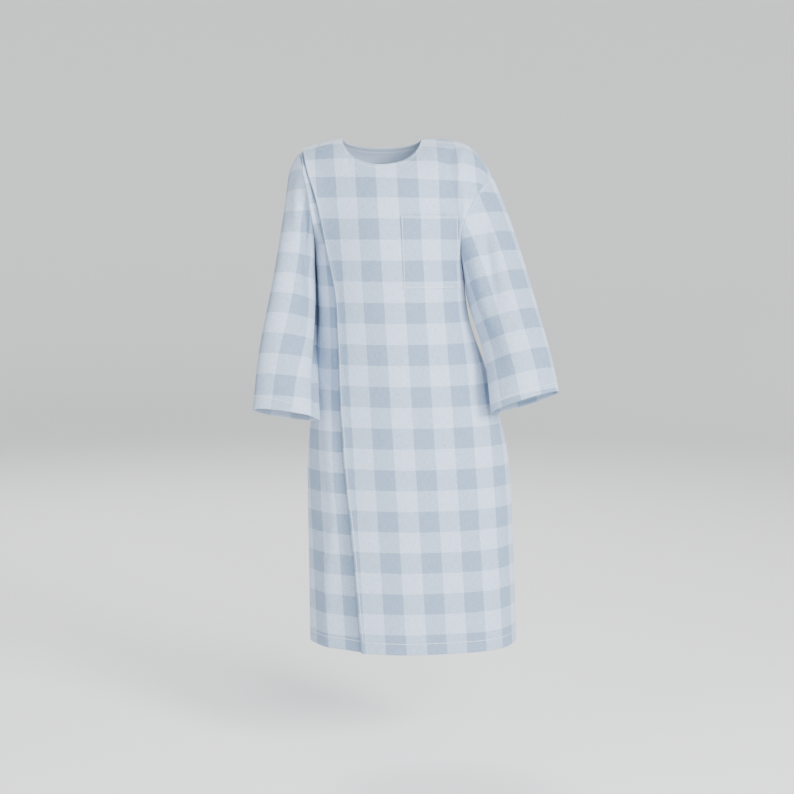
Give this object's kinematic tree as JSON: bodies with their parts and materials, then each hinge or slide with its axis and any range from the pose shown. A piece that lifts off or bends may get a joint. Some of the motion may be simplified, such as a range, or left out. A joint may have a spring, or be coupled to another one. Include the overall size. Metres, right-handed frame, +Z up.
{
  "type": "patient gown",
  "caption": "Child's long-sleeved checked flannel patient gown with a front flap that wraps over one side, hidden press studs, a faced round neck and a chest pocket.",
  "frame": {"origin": "between the two points where the neck meets the shoulders, where the wearer's shoulders carry the gown", "axes": "+Z up, +X towards the wearer's left, the front faces -Y"},
  "size_m": [0.5104, 0.2351, 0.858],
  "materials": {
    "checked_flannel": "brushed cotton flannel woven in a pale blue and off-white check, matt and slightly fuzzy",
    "facing_cotton": "the same brushed cotton, used as facings, matt",
    "stud_plastic": "pale moulded acetal, satin"
  },
  "bodies": {
    "body": {"back_panel": "checked_flannel", "front_panel": "checked_flannel", "side_front": "checked_flannel", "shoulder_underlap": "checked_flannel", "neck_facing_front": "facing_cotton", "neck_facing_back": "facing_cotton", "chest_pocket": "checked_flannel", "stud_ball_shoulder": "stud_plastic", "stud_ball_side_1": "stud_plastic", "stud_ball_side_2": "stud_plastic", "stud_ball_side_3": "stud_plastic", "stud_ball_side_4": "stud_plastic", "stud_ball_side_5": "stud_plastic", "stud_ball_side_6": "stud_plastic", "stud_ball_side_7": "stud_plastic", "stud_ball_side_8": "stud_plastic"},
    "flap": {"front_flap": "checked_flannel", "flap_edge_facing": "facing_cotton", "flap_shoulder_facing": "facing_cotton", "neck_facing_flap": "facing_cotton", "stud_socket_shoulder": "stud_plastic", "stud_socket_side_1": "stud_plastic", "stud_socket_side_2": "stud_plastic", "stud_socket_side_3": "stud_plastic", "stud_socket_side_4": "stud_plastic", "stud_socket_side_5": "stud_plastic", "stud_socket_side_6": "stud_plastic", "stud_socket_side_7": "stud_plastic", "stud_socket_side_8": "stud_plastic"},
    "sleeve_right": {"right_sleeve": "checked_flannel"},
    "sleeve_left": {"left_sleeve": "checked_flannel"}
  },
  "joints": [
    {"name": "flap_opening", "type": "hinge", "parent": "body", "child": "flap", "pos_m": [0.0215, -0.1045, -0.45], "axis": [-0.0579, 0.0387, 0.9976], "range_deg": [0, 110]},
    {"name": "right_sleeve_raise", "type": "hinge", "parent": "body", "child": "sleeve_right", "pos_m": [-0.1445, 0, -0.0245], "axis": [0, 1, 0], "range_deg": [0, 50]},
    {"name": "left_sleeve_raise", "type": "hinge", "parent": "body", "child": "sleeve_left", "pos_m": [0.1915, 0, -0.0655], "axis": [0, -1, 0], "range_deg": [0, 50]}
  ]
}
